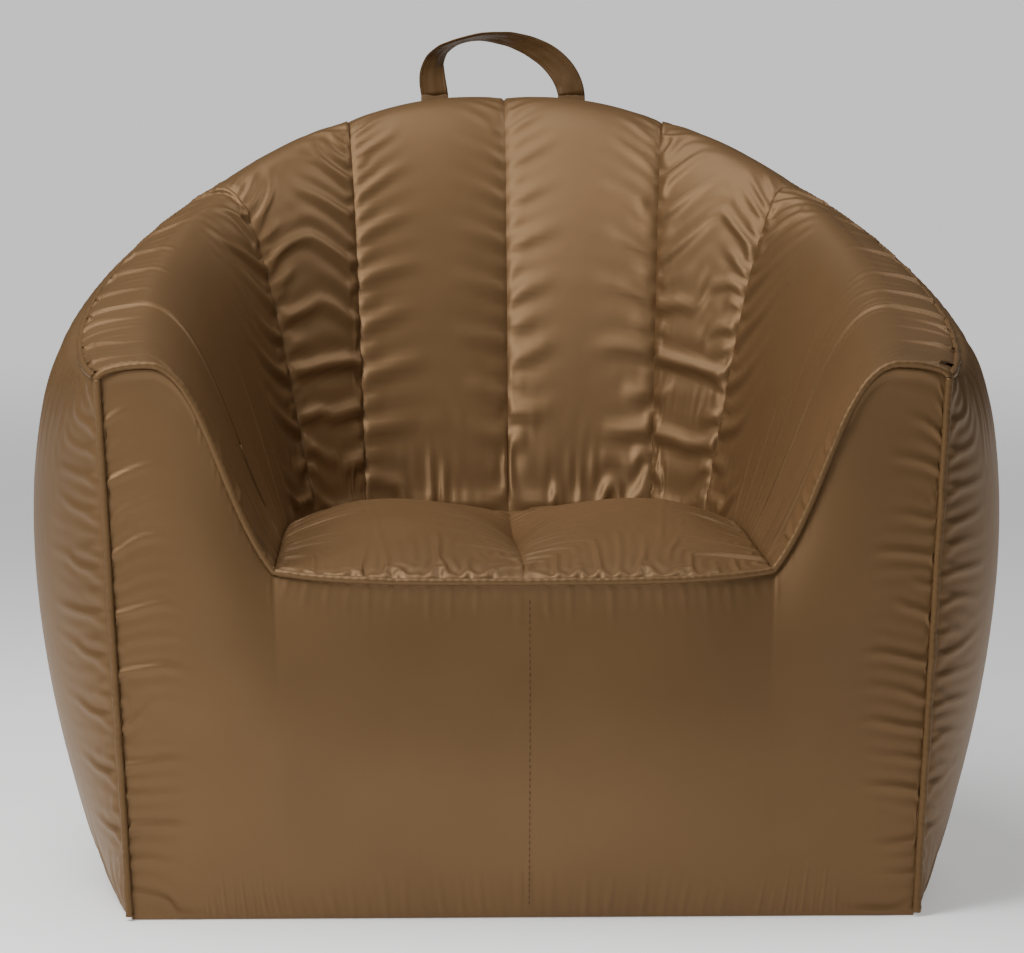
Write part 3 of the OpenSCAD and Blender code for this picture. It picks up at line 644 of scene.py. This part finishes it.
def handle():
    """The strap's loop: a folded, edge-stitched band that turns on edge over the top."""
    span = (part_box("left_handle_tab")[0][0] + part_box("left_handle_tab")[1][0]) / 2
    width = high("left_handle_tab", 0) - low("left_handle_tab", 0)
    pivot = frame["joints"][0]["pos_m"]
    rise = high("carry_handle", 2) - pivot[2] - STRAP_T / 2
    t = np.linspace(0, np.pi, STRAP_ROWS)
    s = np.clip(np.sin(t), 0, 1)
    path = np.stack([-span * np.cos(t) - STRAP_SKEW * s, 0 * t, rise * s ** 0.8], -1)
    g = unit(np.gradient(path, axis=0))
    g[0], g[-1] = (0, 0, 1), (0, 0, -1)
    flat = np.cross(g, [0, -1, 0])
    turn = (STRAP_TWIST * s ** 1.2 + STRAP_TURN * np.sin(2 * t) * s)[:, None]
    w = np.cos(turn) * flat + np.sin(turn) * [0, 1, 0]
    n = np.cross(g, w)
    # Across the band: thick folded edges, a stitched groove inside each, and a slightly hollow middle.
    across = np.linspace(-1, 1, 25)
    bulge = 0.5 - 0.16 * (1 - across ** 2) + 0.05 * np.cos(across * 9)
    bulge -= 0.2 * np.exp(-((np.abs(across) - 0.76) / 0.05) ** 2)
    bulge *= rounded(across, 0)
    rng = np.random.default_rng(8)
    ripple = np.interp(np.linspace(0, 1, STRAP_ROWS), np.linspace(0, 1, 24), rng.normal(size=24)) * 0.35 * MM
    wave = ripple[:, None] * np.cos(across * 4)[None]
    half = width / 2 * BAND_SHARE
    narrow = (1 - 0.22 * s ** 3)[:, None, None]
    middle = path[:, None] + w[:, None] * (across * half)[None, :, None] * narrow
    middle = middle + n[:, None] * wave[..., None]
    lift = n[:, None] * (bulge * STRAP_T)[None, :, None]
    loop = np.concatenate([middle + lift, (middle - lift)[:, ::-1]], 1) + pivot
    strap = mesh_object("carry_strap", loop.reshape(-1, 3), tube_faces(*loop.shape[:2]))
    dress(strap, STRAP)
    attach(strap, "handle")
    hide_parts("carry_handle")


def tabs():
    """The strap's sewn ends: they come up from the rim seam, over the roll, and reach the fold."""
    pivot = frame["joints"][0]["pos_m"]
    for name in SIDES:
        node = f"{name}_handle_tab"
        near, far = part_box(node)
        foot_y, foot_z = near[1] - 1 * MM, near[2] - 3 * MM
        up = np.linspace(0, 1, 14)
        ease = up ** 1.6
        middle = np.stack([0 * up, foot_y + STRAP_T / 2 + (pivot[1] - foot_y - STRAP_T / 2) * ease,
                           foot_z + (pivot[2] + TAB_REACH - foot_z) * up], -1)
        across = np.linspace(-1, 1, 21)
        half = (far[0] - near[0]) / 2 * BAND_SHARE
        thick = STRAP_T / 2 * (1 - 0.6 * up ** 2)
        edge = rounded(across, 0.05)
        groove = 1 - 0.35 * np.exp(-((np.abs(across) - 0.78) / 0.05) ** 2)
        wide = middle[:, None] + np.stack([across * half, 0 * across, 0 * across], -1)[None]
        wide[..., 0] += (near[0] + far[0]) / 2
        lift = thick[:, None, None] * (edge * groove)[None, :, None] * np.array([0, 1, 0])
        band = np.concatenate([wide - lift, (wide + lift)[:, ::-1]], 1)
        tab = mesh_object(f"{node}_band", band.reshape(-1, 3), tube_faces(*band.shape[:2]))
        dress(tab, STRAP)
        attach(tab, "cover")
        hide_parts(node)


# ---------------------------------------------------------------- what stays as CAD made it
KEPT = {
    COVER: ["front_base_panel", "rear_base_panel"],
    TAPE: ["front_zip_tape", "rear_zip_tape"],
    COIL: ["front_zip_coil", "rear_zip_coil"],
    METAL: ["zip_stops", "zip_slider"],
    BEADS: ["bead_fill"],
}


def kept_nodes():
    for material, names in KEPT.items():
        for name in names:
            dress(frame["nodes"][name], material)
    # The filling gives way under the cover's folds.
    give = frame["nodes"]["bead_fill"].modifiers.new("give", "DISPLACE")
    give.strength, give.mid_level = -FILL_GIVE, 0.0


# ---------------------------------------------------------------- room, light and camera
ROOM_LIGHT, ROOM_LOOK, FLOOR, FLOOR_GAP = 0.07, 0.85, 90, 0.5 * MM
# The floor's glow: near and far distance in metres, and its strength at each.
GLOW = {"From Min": 1.0, "From Max": 7.0, "To Min": 0.30, "To Max": 0.785}
# Each lamp: where it stands, where it points, its side in metres and its power in watts.
LAMPS = {
    "key": ((-1.0, -1.1, 1.35), (-0.05, 0, 0.30), 0.7, 22),
    "back": ((-0.6, -1.2, 2.1), (-0.1, 0.25, 0.5), 0.6, 10),
    "fill": ((2.4, -2.6, 1.6), (0, 0, 0.35), 2.0, 0.8),
    "top": ((-0.7, -0.1, 2.4), (-0.1, 0, 0.35), 1.6, 38),
    "over": ((0.9, 0.15, 1.7), (-0.25, 0.1, 0.35), 0.8, 7),
}
# The camera: its distance, the height it aims at, its angles above and to the left, and its lens in mm.
DISTANCE, AIM, UP, LEFT, LENS = 3.2, 0.308, math.radians(5.5), math.radians(1.6), 133.1


def pale(name):
    """The floor: it glows a little by the chair, and as much as the room far off, so no horizon shows."""
    mat = bpy.data.materials.new(name)
    mat.use_nodes = True
    shader = mat.node_tree.nodes["Principled BSDF"]
    shader.inputs["Base Color"].default_value = (0.92, 0.92, 0.92, 1)
    shader.inputs["Roughness"].default_value = 0.8
    shader.inputs["Emission Color"].default_value = (1, 1, 1, 1)
    nodes, links = mat.node_tree.nodes, mat.node_tree.links
    place = nodes.new("ShaderNodeTexCoord")
    away = nodes.new("ShaderNodeVectorMath")
    away.operation = "LENGTH"
    glow = nodes.new("ShaderNodeMapRange")
    glow.interpolation_type = "SMOOTHSTEP"
    for socket, value in GLOW.items():
        glow.inputs[socket].default_value = value
    links.new(place.outputs["Object"], away.inputs[0])
    links.new(away.outputs["Value"], glow.inputs["Value"])
    links.new(glow.outputs["Result"], shader.inputs["Emission Strength"])
    return mat


def studio():
    bpy.ops.mesh.primitive_plane_add(size=FLOOR, location=(0, 0, -FLOOR_GAP))
    floor = bpy.context.object
    floor.name = "floor"
    floor.data.materials.append(pale("floor_pale"))
    # The room is pale to look at, and lights the chair only faintly.
    world = bpy.data.worlds.new("studio")
    bpy.context.scene.world = world
    world.use_nodes = True
    tree = world.node_tree
    seen = tree.nodes.new("ShaderNodeLightPath")
    level = tree.nodes.new("ShaderNodeMapRange")
    level.inputs["To Min"].default_value = ROOM_LIGHT
    level.inputs["To Max"].default_value = ROOM_LOOK
    tree.links.new(seen.outputs["Is Camera Ray"], level.inputs["Value"])
    tree.links.new(level.outputs["Result"], tree.nodes["Background"].inputs["Strength"])
    tree.nodes["Background"].inputs["Color"].default_value = (1, 1, 1, 1)
    for name, (place, aim, size, power) in LAMPS.items():
        data = bpy.data.lights.new(name, "AREA")
        data.shape, data.size, data.energy = "SQUARE", size, power
        lamp = bpy.data.objects.new(name, data)
        bpy.context.scene.collection.objects.link(lamp)
        lamp.location = place
        lamp.rotation_euler = (Vector(aim) - Vector(place)).to_track_quat("-Z", "Y").to_euler()


def camera():
    """A little above the seat, and a little to the left of the middle."""
    data = bpy.data.cameras.new("camera")
    data.lens = LENS
    cam = bpy.data.objects.new("camera", data)
    bpy.context.scene.collection.objects.link(cam)
    flat = DISTANCE * math.cos(UP)
    cam.location = (-flat * math.sin(LEFT), -flat * math.cos(LEFT), AIM + DISTANCE * math.sin(UP))
    cam.rotation_euler = (math.pi / 2 - UP, 0, -LEFT)
    bpy.context.scene.camera = cam


cloth = panels()
topstitch(cloth["left_front_panel"])
all_piping()
handle()
tabs()
kept_nodes()
studio()
camera()
